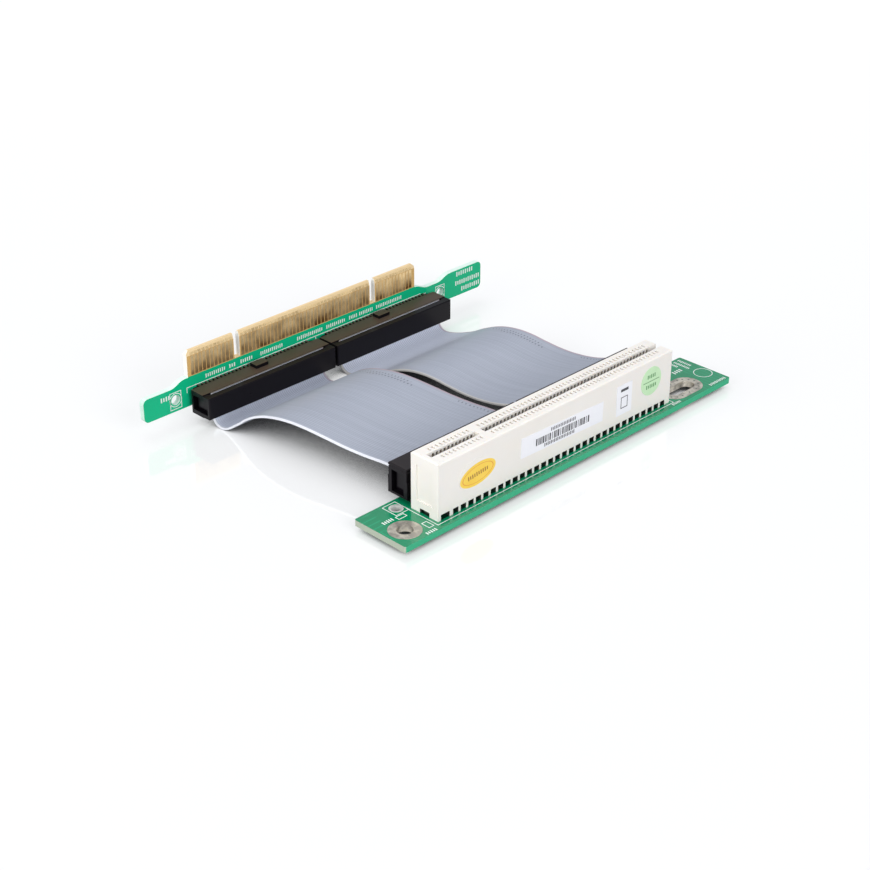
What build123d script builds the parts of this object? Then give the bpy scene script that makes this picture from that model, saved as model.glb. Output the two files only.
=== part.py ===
from build123d import *
import math
import os

os.makedirs("parts", exist_ok=True)

# Two small circuit boards are joined by two flat ribbon cables. The slot board lies flat and
# carries a card slot. The plug board stands on its long edge with its gold contacts upwards.
# All sizes are in millimetres. While it is drawn, X runs along the slot from its left end,
# Y runs back towards the plug board and Z is up from the top face of the slot board.
# At the end every piece is moved so that the origin is below the middle of the whole object.

# Contact spacing shared by the slot and the plug
contact_pitch = 1.27
contact_places = 62
key_one = (11, 12)
key_two = (49, 50)

# Circuit boards
board_thick = 1.6

# Slot board outline and its holes
slot_board_left = -13.0
slot_board_right = 107.8
slot_board_front = -2.55
slot_board_rear = 14.6
board_corner = 0.6
mount_hole_dia = 4.2
round_hole_x = -7.85
mount_hole_y = 2.95
oblong_left = 88.2
oblong_long = 10.0
latch_hole_dia = 2.8
slot_latch_y = 11.3
slot_latch_gap = 2.8

# Slot housing
housing_end_margin = 3.685
housing_wide = 9.0
housing_high = 15.2
card_gap = 1.8
card_end_wall = 1.4
card_depth = 8.6
end_slot_deep = 2.2
key_rib_long = 1.78
slit_wide = 0.7
slit_reach = 2.9
foot_gap = 1.85
foot_gap_high = 1.5
foot_gap_deep = 3.2
foot_gap_first = 5.8
corner_gap_left = 0.9
corner_gap_right = 3.8
end_panel_wide = 5.4
end_panel_low = 3.0
end_panel_high = 12.4
end_panel_deep = 0.35
end_notch_wide = 3.2
end_notch_high = 1.2
end_notch_deep = 1.0
top_bevel = 0.3
peg_dia = 2.3
peg_clearance = 0.1
peg_below_board = 1.4
peg_from_left = 2.35
peg_from_right = 1.94

# Slot contacts. Each point is a distance from the middle of the slot and a height above its floor.
contact_wide = 0.5
contact_profile = ((2.2, 0.0), (0.72, 4.8), (1.75, 6.8), (2.5, 0.0))

# Ribbon connectors, all four alike
connector_end_wall = 2.55
connector_wide = 6.5
connector_high = 8.6
connector_gap = 0.8
socket_behind_housing = 1.4
slot_group_left = 0.1
plug_group_left = -1.9
plug_socket_top = -2.9
base_end_margin = 1.6
base_wide = 4.2
base_high = 1.3
base_offset = 0.5
cap_wide = 6.1
cap_thick = 2.0
cap_bevel = 0.25
ear_window_deep = 1.5
ear_window_wide = 4.1
ear_window_sill = 0.6
ear_window_lintel = 0.9
latch_arm_thick = 0.45
latch_arm_wide = 2.4
latch_arm_long = 3.6
arm_clearance = 0.1
key_bump_long = 4.0
key_bump_high = 2.6
key_bump_proud = 0.9
header_pins = 30
header_row_gap = 1.27
tail_side = 0.45
tail_long = 1.35

# Ribbon cables
ribbon_thick = 0.65
ribbon_side_gap = 0.8
free_stations = 34
turn_stations = 7

# Plug board. Its own measures run along the board from the first contact and up from the
# foot of the contacts, and these three values place that point.
plug_x = -5.0
plug_y = 84.1
plug_z = 9.55
plug_left = -16.0
plug_right = 106.2
plug_low = -8.1
plug_shelf = -1.5
plug_high_end = 0.0
tab_left = -1.65
tab_high = 7.3
tab_corner = 0.8
plug_corner = 1.4
left_shoulder_long = 0.95
left_slope_long = 5.0
dip_slope_long = 5.48
dip_flat_long = 3.4
rise_slope_long = 5.6
notch_wide = 1.9
notch_floor = 0.3
bevel_high = 1.4
bevel_deep = 0.45
finger_wide = 1.02
finger_low = 0.4
finger_high = 5.8
finger_thick = 0.05
plug_latch_h = -4.85
plug_latch_gap = 4.06

# Paper labels on the front of the housing
label_thick = 0.1
oval_centre = (13.1, 7.8)
oval_size = (12.8, 8.4)
strip_centre = (42.9, 7.9)
strip_size = (30.0, 5.4)
strip_turn = -1.7
small_from_right = 18.74
small_high = 7.95
small_size = (5.9, 8.4)
disc_from_right = 8.14
disc_high = 9.2
disc_dia = 7.9

# Values worked out from those above
board_low = -board_thick
floor_z = board_low - peg_below_board
housing_long = (contact_places - 1) * contact_pitch + 2 * housing_end_margin
slot_mid_y = housing_wide / 2
first_contact_x = housing_end_margin
peg_places = (peg_from_left, housing_long - peg_from_right)
foot_gap_pitch = 2 * contact_pitch
foot_gap_count = contact_places // 2
ribbon_wide = header_pins * contact_pitch
connector_long = ribbon_wide + 2 * connector_end_wall
connector_spacing = connector_long + connector_gap
socket_front_y = housing_wide + socket_behind_housing
oblong_right = oblong_left + oblong_long
latch_reach = (connector_spacing + connector_long) / 2
base_long = connector_long - 2 * base_end_margin
ribbon_low = connector_high - cap_thick - ribbon_thick
ribbon_mid = ribbon_low + ribbon_thick / 2
tab_right = (contact_places - 1) * contact_pitch - tab_left
slot_centres = [slot_group_left + connector_long / 2 + i * connector_spacing for i in (0, 1)]
plug_centres = [plug_x + plug_group_left + connector_long / 2 + i * connector_spacing for i in (0, 1)]
slot_group_mid = sum(slot_centres) / 2
plug_group_mid = sum(plug_centres) / 2
plug_rear_y = plug_y + board_thick

pieces = {}


def block(x0, x1, y0, y1, z0, z1):
    """A plain block between two corners."""
    return Pos((x0 + x1) / 2, (y0 + y1) / 2, (z0 + z1) / 2) * Box(x1 - x0, y1 - y0, z1 - z0)


def upright(x, y, z0, z1, diameter):
    """A round bar standing on Z."""
    return Pos(x, y, (z0 + z1) / 2) * Cylinder(diameter / 2, z1 - z0)


def long_bar(x0, x1, y, z0, z1, width):
    """A bar with round ends, lying along X and standing on Z."""
    middle = block(x0 + width / 2, x1 - width / 2, y - width / 2, y + width / 2, z0, z1)
    return middle + upright(x0 + width / 2, y, z0, z1, width) + upright(x1 - width / 2, y, z0, z1, width)


# Slot board
slot_board = block(slot_board_left, slot_board_right, slot_board_front, slot_board_rear, board_low, 0)
slot_board = fillet(slot_board.edges().filter_by(Axis.Z), board_corner)
holes = [
    upright(round_hole_x, mount_hole_y, board_low - 1, 1, mount_hole_dia),
    long_bar(oblong_left, oblong_right, mount_hole_y, board_low - 1, 1, mount_hole_dia),
]
for side in (-1, 1):
    x = slot_group_mid + side * (latch_reach + slot_latch_gap)
    holes.append(upright(x, slot_latch_y, board_low - 1, 1, latch_hole_dia))
for x in peg_places:
    holes.append(upright(x, slot_mid_y, board_low - 1, 1, peg_dia + 2 * peg_clearance))
pieces["slot_board"] = slot_board - holes

# Slot housing
housing = block(0, housing_long, 0, housing_wide, 0, housing_high)
housing = chamfer(housing.edges().group_by(Axis.Z)[-1], top_bevel)
card_floor = housing_high - card_depth
key_x = first_contact_x + sum(key_one) / 2 * contact_pitch
card_front = slot_mid_y - card_gap / 2
card_rear = slot_mid_y + card_gap / 2
card_right = housing_long - card_end_wall
cuts = [
    block(card_end_wall, key_x - key_rib_long / 2, card_front, card_rear, card_floor, housing_high + 1),
    block(key_x + key_rib_long / 2, card_right, card_front, card_rear, card_floor, housing_high + 1),
    block(card_right - 1, housing_long + 1, card_front, card_rear,
          housing_high - end_slot_deep, housing_high + 1),
]
slot_contacts = [i for i in range(contact_places) if i not in key_one]
for i in slot_contacts:
    x = first_contact_x + i * contact_pitch
    cuts.append(block(x - slit_wide / 2, x + slit_wide / 2, slot_mid_y - slit_reach, slot_mid_y + slit_reach,
                      card_floor, housing_high + 1))
for y0, y1 in ((-1, foot_gap_deep), (housing_wide - foot_gap_deep, housing_wide + 1)):
    cuts.append(block(corner_gap_left, corner_gap_right, y0, y1, -1, foot_gap_high))
    for i in range(foot_gap_count):
        x = foot_gap_first + i * foot_gap_pitch
        cuts.append(block(x - foot_gap / 2, x + foot_gap / 2, y0, y1, -1, foot_gap_high))
for x0, x1 in ((-1, end_panel_deep), (housing_long - end_panel_deep, housing_long + 1)):
    cuts.append(block(x0, x1, slot_mid_y - end_panel_wide / 2, slot_mid_y + end_panel_wide / 2,
                      end_panel_low, end_panel_high))
for x0, x1 in ((-1, end_notch_deep), (housing_long - end_notch_deep, housing_long + 1)):
    cuts.append(block(x0, x1, slot_mid_y - end_notch_wide / 2, slot_mid_y + end_notch_wide / 2,
                      -1, end_notch_high))
housing = housing - cuts
for x in peg_places:
    housing += upright(x, slot_mid_y, floor_z, 0, peg_dia)

# The housing is one moulding. It is kept as a base with two walls, two ends and a key rib that meet face
# to face round the card slot.
far = housing_long + 1
top = housing_high + 1
shares = {
    "slot_housing": block(-1, far, -1, housing_wide + 1, floor_z - 1, card_floor),
    "slot_wall_front": block(card_end_wall, card_right, -1, card_front, card_floor, top),
    "slot_wall_rear": block(card_end_wall, card_right, card_rear, housing_wide + 1, card_floor, top),
    "slot_end_left": block(-1, card_end_wall, -1, housing_wide + 1, card_floor, top),
    "slot_end_right": block(card_right, far, -1, housing_wide + 1, card_floor, top),
    "slot_key_rib": block(key_x - key_rib_long, key_x + key_rib_long, card_front, card_rear, card_floor, top),
}
for name, share in shares.items():
    pieces[name] = housing & share

# Slot contacts, one spring blade in each slit
for name, side in (("front", -1), ("rear", 1)):
    blades = []
    for i in slot_contacts:
        x = first_contact_x + i * contact_pitch - contact_wide / 2
        points = [(x, slot_mid_y + side * reach, card_floor + height) for reach, height in contact_profile]
        blades.append(extrude(make_face(Polyline(*points, close=True)), amount=contact_wide, dir=(1, 0, 0)))
    pieces["slot_contacts_" + name] = Compound(children=blades)

# Plug board
left_slope_top = tab_left - left_shoulder_long
left_slope_foot = left_slope_top - left_slope_long
dip_left = tab_right + dip_slope_long
dip_right = dip_left + dip_flat_long
rise_top = dip_right + rise_slope_long
to_world = Plane(origin=(plug_x, plug_y, plug_z), x_dir=(1, 0, 0), z_dir=(0, -1, 0))
with BuildPart() as plug_shape:
    with BuildSketch(to_world):
        with BuildLine():
            shelf_left = Line((plug_left, plug_low), (plug_left, plug_shelf))
            Line(shelf_left @ 1, (left_slope_foot, plug_shelf))
            Spline((left_slope_foot, plug_shelf), (left_slope_top, 0.0), tangents=((1, 0), (1, 0)))
            Line((left_slope_top, 0.0), (tab_left, 0.0))
            Polyline((tab_left, 0.0), (tab_left, tab_high - tab_corner), (tab_left + tab_corner, tab_high))
            Line((tab_left + tab_corner, tab_high), (tab_right - tab_corner, tab_high))
            Polyline((tab_right - tab_corner, tab_high), (tab_right, tab_high - tab_corner), (tab_right, 0.0))
            Spline((tab_right, 0.0), (dip_left, plug_shelf), tangents=((1, 0), (1, 0)))
            Line((dip_left, plug_shelf), (dip_right, plug_shelf))
            Spline((dip_right, plug_shelf), (rise_top, plug_high_end), tangents=((1, 0), (1, 0)))
            Polyline((rise_top, plug_high_end), (plug_right, plug_high_end), (plug_right, plug_low),
                     (plug_left, plug_low))
        make_face()
    extrude(amount=-board_thick)
plug_board = plug_shape.part
corner_edges = [e for e in plug_board.edges().filter_by(Axis.Y)
                if e.center().X < plug_x + plug_left + 0.1 or e.center().X > plug_x + plug_right - 0.1]
plug_board = fillet(corner_edges, plug_corner)
plug_cuts = []
for pair in (key_one, key_two):
    x = plug_x + sum(pair) / 2 * contact_pitch
    plug_cuts.append(block(x - notch_wide / 2, x + notch_wide / 2, plug_y - 1, plug_rear_y + 1,
                           plug_z + notch_floor, plug_z + tab_high + 1))
tab_top = plug_z + tab_high
for face_y, inward in ((plug_y, 1), (plug_rear_y, -1)):
    wedge = Polyline((plug_x + tab_left - 1, face_y - inward, tab_top - bevel_high),
                     (plug_x + tab_left - 1, face_y, tab_top - bevel_high),
                     (plug_x + tab_left - 1, face_y + inward * bevel_deep, tab_top),
                     (plug_x + tab_left - 1, face_y + inward * bevel_deep, tab_top + 1),
                     (plug_x + tab_left - 1, face_y - inward, tab_top + 1), close=True)
    plug_cuts.append(extrude(make_face(wedge), amount=tab_right - tab_left + 2, dir=(1, 0, 0)))
for side in (-1, 1):
    x = plug_group_mid + side * (latch_reach + plug_latch_gap)
    plug_cuts.append(Pos(x, plug_y + board_thick / 2, plug_z + plug_latch_h) * Rot(90, 0, 0)
                     * Cylinder(latch_hole_dia / 2, board_thick + 2))
pieces["plug_board"] = plug_board - plug_cuts

# Gold contacts on both faces of the plug board
plug_contacts = [i for i in range(contact_places) if i not in key_one and i not in key_two]
for name, y0 in (("front", plug_y - finger_thick), ("rear", plug_rear_y)):
    fingers = []
    for i in plug_contacts:
        x = plug_x + i * contact_pitch
        fingers.append(block(x - finger_wide / 2, x + finger_wide / 2, y0, y0 + finger_thick,
                             plug_z + finger_low, plug_z + finger_high))
    pieces["edge_fingers_" + name] = Compound(children=fingers)

# Ribbon connector, drawn once. X is along it with zero in the middle, Y is zero at the side where
# the ribbon ends and Z is up from the board.
half = connector_long / 2
mid_y = connector_wide / 2
header_base = block(-base_long / 2, base_long / 2, base_offset, base_offset + base_wide, 0, base_high)
socket = block(-half, half, 0, connector_wide, base_high, ribbon_low)
window_low = base_high + ear_window_sill
window_top = connector_high - ear_window_lintel
window_inner = half - ear_window_deep
for side in (-1, 1):
    near, away = sorted((side * window_inner, side * (half + 1)))
    socket -= block(near, away, mid_y - ear_window_wide / 2, mid_y + ear_window_wide / 2,
                    window_low, ribbon_low + 1)
socket += block(-key_bump_long / 2, key_bump_long / 2, -key_bump_proud, 0, base_high, base_high + key_bump_high)
cap_edge = (connector_wide - cap_wide) / 2
cap_low = connector_high - cap_thick
cap = block(-half, half, cap_edge, cap_edge + cap_wide, cap_low, connector_high)
cap = chamfer(cap.edges().group_by(Axis.Z)[-1], cap_bevel)
for side in (-1, 1):
    near, away = sorted((side * (ribbon_wide / 2 + ribbon_side_gap), side * half))
    cap += block(near, away, cap_edge, cap_edge + cap_wide, ribbon_low, cap_low)
    near, away = sorted((side * window_inner, side * (half + 1)))
    cap -= block(near, away, mid_y - ear_window_wide / 2, mid_y + ear_window_wide / 2,
                 ribbon_low - 1, window_top)
    arm_foot = window_inner + arm_clearance
    near, away = sorted((side * arm_foot, side * (arm_foot + latch_arm_thick)))
    cap += block(near, away, mid_y - latch_arm_wide / 2, mid_y + latch_arm_wide / 2, cap_low - latch_arm_long,
                 window_top + ear_window_lintel / 2)

pin_tails = []
for i in range(header_pins):
    x = (i - (header_pins - 1) / 2) * contact_pitch
    for row in (-0.5, 0.5):
        y = base_offset + base_wide / 2 + row * header_row_gap
        pin_tails.append(block(x - tail_side / 2, x + tail_side / 2, y - tail_side / 2, y + tail_side / 2,
                               board_low - tail_long, board_low))

plug_tails = []
for board, centres in (("slot", slot_centres), ("plug", plug_centres)):
    for hand, x in zip(("left", "right"), centres):
        if board == "slot":
            seat = Plane(origin=(x, socket_front_y, 0), x_dir=(1, 0, 0), z_dir=(0, 0, 1))
        else:
            seat = Plane(origin=(x, plug_y, plug_z + plug_socket_top), x_dir=(-1, 0, 0), z_dir=(0, -1, 0))
            plug_tails += [seat.location * tail for tail in pin_tails]
        ending = "_" + board + "_" + hand
        pieces["header_base" + ending] = seat.location * header_base
        pieces["ribbon_socket" + ending] = seat.location * socket
        pieces["ribbon_cap" + ending] = seat.location * cap
pieces["header_tails_plug"] = Compound(children=plug_tails)

# Ribbon cables. Each side edge is drawn in the upright plane that holds the run of the cable, and the
# cable is that profile pushed sideways along X by its width.
slot_side_y = socket_front_y + connector_wide
plug_seam_y = plug_y - ribbon_mid
plug_side_z = plug_z + plug_socket_top - connector_wide
dip_mid = floor_z + ribbon_thick / 2
ribbon_runs = {
    "left": ((20.5, 6.45), (26.5, 6.25), (33.0, 6.35), (40.0, 6.85), (46.0, 7.2), (51.5, 7.15), (57.0, 6.4),
             (62.0, 4.9), (66.0, 2.75), (69.3, 0.2)),
    "right": ((20.0, 5.75), (24.5, 4.6), (30.0, 3.95), (35.5, 4.0), (41.0, 4.65), (46.0, 5.35), (51.0, 5.35),
              (56.0, 4.4), (61.0, 2.4), (66.5, -0.4)),
}


def ribbon(hand, x_slot, x_plug):
    """One ribbon, from its cut end over the slot connector to its cut end over the plug connector."""
    turn_x = (x_plug - x_slot) / (plug_seam_y - slot_side_y)

    def place(y, z):
        return Vector(x_slot + (y - slot_side_y) * turn_x, y, z)

    along = (place(1, 0) - place(0, 0)).normalized()
    turn_radius = plug_side_z - dip_mid
    turn_y = plug_seam_y - turn_radius * along.Y
    middle = [place(y, z) for y, z in ribbon_runs[hand]]
    free = Spline(place(slot_side_y, ribbon_mid), *middle, place(turn_y, dip_mid), tangents=(along, along))
    stations = [(place(socket_front_y, ribbon_mid), along)]
    for i in range(free_stations):
        stations.append((free @ (i / free_stations), free % (i / free_stations)))
    centre = place(turn_y, plug_side_z)
    for i in range(turn_stations + 1):
        angle = math.radians(90 * i / turn_stations)
        outward = along * math.sin(angle) - Vector(0, 0, math.cos(angle))
        direction = along * math.cos(angle) + Vector(0, 0, math.sin(angle))
        stations.append((centre + outward * turn_radius, direction))
    stations.append((stations[-1][0] + Vector(0, 0, connector_wide), Vector(0, 0, 1)))
    upper = []
    lower = []
    for at, direction in stations:
        normal = Vector(0, 0, direction.dot(along)) - along * direction.Z
        upper.append(at + normal * (ribbon_thick / 2))
        lower.append(at - normal * (ribbon_thick / 2))
    outline = Polyline(*upper, *lower[::-1], close=True)
    return extrude(make_face(outline), amount=ribbon_wide, dir=(1, 0, 0))


for hand, x_slot, x_plug in zip(("left", "right"), slot_centres, plug_centres):
    pieces["ribbon_" + hand] = ribbon(hand, x_slot - ribbon_wide / 2, x_plug - ribbon_wide / 2)

# Labels, each a thin sheet on the front of the housing
front = Plane(origin=(0, 0, 0), x_dir=(1, 0, 0), z_dir=(0, -1, 0))


def sheet(shape, centre, turn=0.0):
    """A label cut to shape, lying on the front of the housing."""
    placed = Pos(*centre) * Rot(0, 0, turn) * shape
    return extrude(front.location * placed, amount=label_thick, dir=(0, -1, 0))


pieces["oval_label"] = sheet(Ellipse(oval_size[0] / 2, oval_size[1] / 2), oval_centre)
pieces["strip_label"] = sheet(Rectangle(*strip_size), strip_centre, strip_turn)
pieces["small_label"] = sheet(Rectangle(*small_size), (housing_long - small_from_right, small_high))
pieces["round_label"] = sheet(Circle(disc_dia / 2), (housing_long - disc_from_right, disc_high))

# Everything moves together, so that the origin is on the floor below the middle
boxes = [piece.bounding_box() for piece in pieces.values()]
middle_x = (min(b.min.X for b in boxes) + max(b.max.X for b in boxes)) / 2
middle_y = (min(b.min.Y for b in boxes) + max(b.max.Y for b in boxes)) / 2
lowest = min(b.min.Z for b in boxes)
move = Pos(-middle_x, -middle_y, -lowest)
print("moved by", round(-middle_x, 3), round(-middle_y, 3), round(-lowest, 3))
for name, piece in pieces.items():
    export_step(move * piece, "parts/" + name + ".step")
print(len(pieces), "pieces")
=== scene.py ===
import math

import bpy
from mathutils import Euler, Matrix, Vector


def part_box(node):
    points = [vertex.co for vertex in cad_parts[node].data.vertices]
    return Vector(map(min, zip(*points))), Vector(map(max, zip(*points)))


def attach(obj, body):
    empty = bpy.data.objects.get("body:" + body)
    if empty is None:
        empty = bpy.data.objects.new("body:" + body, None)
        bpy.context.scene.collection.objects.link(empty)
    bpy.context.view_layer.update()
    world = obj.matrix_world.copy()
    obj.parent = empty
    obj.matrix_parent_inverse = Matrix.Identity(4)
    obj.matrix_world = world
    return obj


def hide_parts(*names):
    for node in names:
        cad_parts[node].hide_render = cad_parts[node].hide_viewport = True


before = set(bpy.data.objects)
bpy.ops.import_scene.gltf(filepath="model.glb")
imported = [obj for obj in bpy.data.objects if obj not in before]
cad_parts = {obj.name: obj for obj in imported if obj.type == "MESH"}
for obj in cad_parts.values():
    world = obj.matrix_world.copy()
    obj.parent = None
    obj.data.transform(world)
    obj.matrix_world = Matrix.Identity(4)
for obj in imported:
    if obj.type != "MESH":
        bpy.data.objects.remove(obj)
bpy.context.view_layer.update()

# %% [markdown]
# The frame is the measured model of the riser card: two boards, a card slot, four ribbon
# connectors and two ribbons, all in metres. Everything that this file adds is placed from it.
# Loading leaves the pieces selected, and Blender's operators act on all that is selected, so we
# let go of them. Places are given in millimetres from one corner of the slot, where a maker would
# measure them.

bpy.ops.object.select_all(action="DESELECT")
MM = 0.001
PITCH = 1.27
PEG_REACH = 3.0
HOUSING_MIDDLE = 42.42
SLOT_MIDDLE = 4.5
PLUG_LEFT = -5.0
PLUG_FOOT = 9.55
PLUG_BOARD_Y = 84.1
BOARD_THICK = 1.6
slot_low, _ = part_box("slot_housing")
zero = Vector(slot_low) + Vector((0, 0, PEG_REACH * MM))


def spot(x, y, z):
    """A point given in millimetres from the slot's left front corner on the board, in metres."""
    return zero + Vector((x, y, z)) * MM


# %% [markdown]
# The camera stands where the photographer's did: in front, to the left and above, with a long
# lens, so that parallel edges nearly stay parallel. Its angle and distance were worked out from
# the corners of both boards and from the even spacing of the contacts.

# %% Camera
LENS_MM = 73.71
CAMERA_SPOT = (-248.27, -249.23, 215.67)
CAMERA_TURN = -44.77
CAMERA_DROP = 28.71
camera_data = bpy.data.cameras.new("camera")
camera_data.lens = LENS_MM
camera_data.sensor_width = 36
camera_data.clip_start = 0.01
camera = bpy.data.objects.new("camera", camera_data)
camera.location = spot(*CAMERA_SPOT)
camera.rotation_euler = Euler((math.radians(90 - CAMERA_DROP), 0, math.radians(CAMERA_TURN)))
bpy.context.collection.objects.link(camera)
bpy.context.scene.camera = camera
bpy.context.scene.view_settings.view_transform = "Standard"
print("camera", tuple(camera.location))

# %% [markdown]
# A product photograph like this is lit by large soft boxes over a white table. One big lamp hangs
# overhead, a second stands on the left and makes the slot's end white, and a third in front
# keeps the black connectors readable.


# %% Soft studio lamps
def lamp(name, place, aim, size, watts, tint=(1, 1, 1)):
    """A square soft box that points at a place on the object."""
    data = bpy.data.lights.new(name, "AREA")
    data.size = size
    data.energy = watts
    data.color = tint
    box = bpy.data.objects.new(name, data)
    box.location = place
    box.rotation_euler = (Vector(aim) - Vector(place)).to_track_quat("-Z", "Y").to_euler()
    bpy.context.collection.objects.link(box)


lamp("overhead box", place=(0.05, 0.12, 0.62), aim=(0, 0, 0), size=0.55, watts=1.35)
lamp("left box", place=(-0.62, 0.02, 0.26), aim=(0, 0, 0.01), size=0.4, watts=2.6,
     tint=(1.0, 0.99, 0.97))
lamp("front box", place=(-0.1, -0.6, 0.3), aim=(0, 0, 0), size=0.35, watts=2.2)

# %% [markdown]
# The walls of the room are white. They light the object evenly, and where the camera looks
# straight at them they are pure white. The light that suits the object is dimmer than that, so
# two plain backgrounds are mixed by the kind of ray.

# %% White room
world = bpy.data.worlds.new("white room")
bpy.context.scene.world = world
world.use_nodes = True
room_nodes = world.node_tree.nodes
room_light = room_nodes["Background"]
room_light.inputs["Color"].default_value = (0.93, 0.95, 1.0, 1)
room_light.inputs["Strength"].default_value = 0.5
room_seen = room_nodes.new("ShaderNodeBackground")
room_seen.inputs["Color"].default_value = (1, 1, 1, 1)
room_seen.inputs["Strength"].default_value = 1.0
choice = room_nodes.new("ShaderNodeMixShader")
camera_ray = room_nodes.new("ShaderNodeLightPath").outputs["Is Camera Ray"]
for output, target in ((camera_ray, choice.inputs[0]), (room_light.outputs[0], choice.inputs[1]),
                       (room_seen.outputs[0], choice.inputs[2]),
                       (choice.outputs[0], room_nodes["World Output"].inputs["Surface"])):
    world.node_tree.links.new(output, target)
print("room with", len(room_nodes), "nodes")

# %% [markdown]
# A material is a small graph of nodes. These few helpers keep each graph short to write: one
# makes an empty material with its shader, one adds a node and sets its values, and one mixes two
# colours by a mask. Patterns read Object coordinates, which are metres here, so a size in
# millimetres is turned into the scale of a texture by dividing 1000 by it.


# %% Helpers for materials
class Finish:
    """One material and the nodes in it."""

    def __init__(self, name, roughness=0.4, metal=0.0, coat=0.0):
        self.material = bpy.data.materials.new(name)
        self.material.use_nodes = True
        self.tree = self.material.node_tree
        self.shader = self.tree.nodes["Principled BSDF"]
        self.shader.inputs["Roughness"].default_value = roughness
        self.shader.inputs["Metallic"].default_value = metal
        self.shader.inputs["Coat Weight"].default_value = coat
        self.place = self.add("ShaderNodeTexCoord").outputs["Object"]

    def add(self, kind, inputs=None, **settings):
        """Adds a node. Its inputs are numbers, colours or the outputs of other nodes."""
        node = self.tree.nodes.new(kind)
        for key, value in settings.items():
            setattr(node, key, value)
        for key, value in (inputs or {}).items():
            self.feed(node.inputs[key], value)
        return node

    def feed(self, socket, value):
        """Links an output to a socket, or sets the socket to a plain value."""
        if isinstance(value, bpy.types.NodeSocket):
            self.tree.links.new(value, socket)
        else:
            socket.default_value = value

    def link(self, output, target):
        self.tree.links.new(output, self.shader.inputs[target])

    def math(self, operation, first, second=0.0, clamp=False):
        inputs = {0: first, 1: second}
        node = self.add("ShaderNodeMath", inputs, operation=operation, use_clamp=clamp)
        return node.outputs[0]

    def times(self, first, second):
        return self.math("MULTIPLY", first, second)

    def axis(self, name):
        return self.add("ShaderNodeSeparateXYZ", {0: self.place}).outputs[name]

    def facing(self, name):
        """How far a face looks along an axis, from -1 to 1."""
        normal = self.add("ShaderNodeNewGeometry").outputs["Normal"]
        return self.add("ShaderNodeSeparateXYZ", {0: normal}).outputs[name]

    def mix(self, mask, first, second):
        """One colour where the mask is 0 and the other where it is 1."""
        node = self.add("ShaderNodeMix", data_type="RGBA")
        self.feed(node.inputs[0], mask)
        for index, colour in ((6, first), (7, second)):
            plain = isinstance(colour, tuple)
            self.feed(node.inputs[index], (*colour, 1) if plain else colour)
        return node.outputs[2]

    def noise(self, size_mm, detail=3.0, roughness=0.55):
        inputs = {"Vector": self.place, "Scale": 1000 / size_mm, "Detail": detail,
                  "Roughness": roughness}
        return self.add("ShaderNodeTexNoise", inputs).outputs["Fac"]

    def ramp(self, value, low, high):
        """0 up to the low value, 1 from the high one, and even between them."""
        inputs = {"Value": value, "From Min": low, "From Max": high}
        return self.add("ShaderNodeMapRange", inputs, clamp=True).outputs["Result"]

    def between(self, value, low, high):
        """Spreads a value from 0 to 1 over the range from low to high."""
        inputs = {"Value": value, "To Min": low, "To Max": high}
        return self.add("ShaderNodeMapRange", inputs).outputs["Result"]

    def open_air(self, distance, samples):
        """1 in the open and nearly 0 in narrow gaps."""
        node = self.add("ShaderNodeAmbientOcclusion", {"Distance": distance}, samples=samples)
        return node.outputs["AO"]

    def inside(self, mask, *ranges):
        """Narrows a mask to ranges: an axis, its middle and half its length, in millimetres."""
        for axis, middle, half in ranges:
            middle_m = zero["XYZ".index(axis)] + middle * MM
            away = self.math("ABSOLUTE", self.math("SUBTRACT", self.axis(axis), middle_m))
            mask = self.times(self.math("LESS_THAN", away, half * MM), mask)
        return mask

    def bump(self, height, distance_mm, strength=1.0):
        inputs = {"Height": height, "Distance": distance_mm * MM, "Strength": strength}
        self.link(self.add("ShaderNodeBump", inputs).outputs["Normal"], "Normal")


def dress(finish, *names):
    """Gives a finish to pieces of the frame."""
    for name in names:
        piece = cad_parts[name]
        piece.data.materials.clear()
        piece.data.materials.append(finish.material)


# %% [markdown]
# The table is a white glossy sheet. The camera has to see it as plain white, yet the object still
# needs its soft shadow and a trace of its reflection. So the sheet glows a little, but only for
# the camera and for mirror-like rays, and under that it is an ordinary pale surface that takes
# shadows. The glow is stronger where the lamps reach less, so the sheet is evenly white. An
# ambient occlusion node takes the glow away where the ribbons cover the table, and it darkens the
# sheet's grey base colour there, a painted shadow, so that the gap between them stays as dark as
# it is in a real room.

# %% Table
GLOW_MIDDLE = 0.485
GLOW_PER_METRE_X = 0.2855
GLOW_PER_METRE_Y = 0.2267
bpy.ops.mesh.primitive_plane_add(size=6, location=(0, 0, 0))
table = bpy.context.object
table.name = "table"
paper = Finish("white table", roughness=0.05)
paper.shader.inputs["IOR"].default_value = 2.2
rays = paper.add("ShaderNodeLightPath").outputs
seen = paper.math("ADD", rays["Is Camera Ray"], rays["Is Glossy Ray"], clamp=True)
seen = paper.math("ADD", seen, rays["Is Transmission Ray"], clamp=True)
uncovered = paper.open_air(0.05, samples=10)
seen = paper.times(seen, paper.ramp(uncovered, 0.08, 0.36))
# The grey base colour is darkened where the ribbons cover the table: a painted shadow.
sheet_grey_with_painted_shadow = paper.mix(paper.ramp(uncovered, 0.06, 0.24), (0.05, 0.05, 0.05), (0.46, 0.465, 0.47))
paper.link(sheet_grey_with_painted_shadow, "Base Color")
lift = paper.math("ADD", paper.times(paper.axis("X"), GLOW_PER_METRE_X),
                  paper.times(paper.axis("Y"), GLOW_PER_METRE_Y))
lift = paper.math("ADD", lift, GLOW_MIDDLE, clamp=True)
glow_inputs = {"Color": (1, 1, 1, 1), "Strength": paper.times(seen, lift)}
glow = paper.add("ShaderNodeEmission", glow_inputs)
both = paper.add("ShaderNodeAddShader", {0: paper.shader.outputs[0], 1: glow.outputs[0]})
paper.tree.links.new(both.outputs[0], paper.tree.nodes["Material Output"].inputs["Surface"])
table.data.materials.append(paper.material)
print("table", tuple(table.dimensions))
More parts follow.
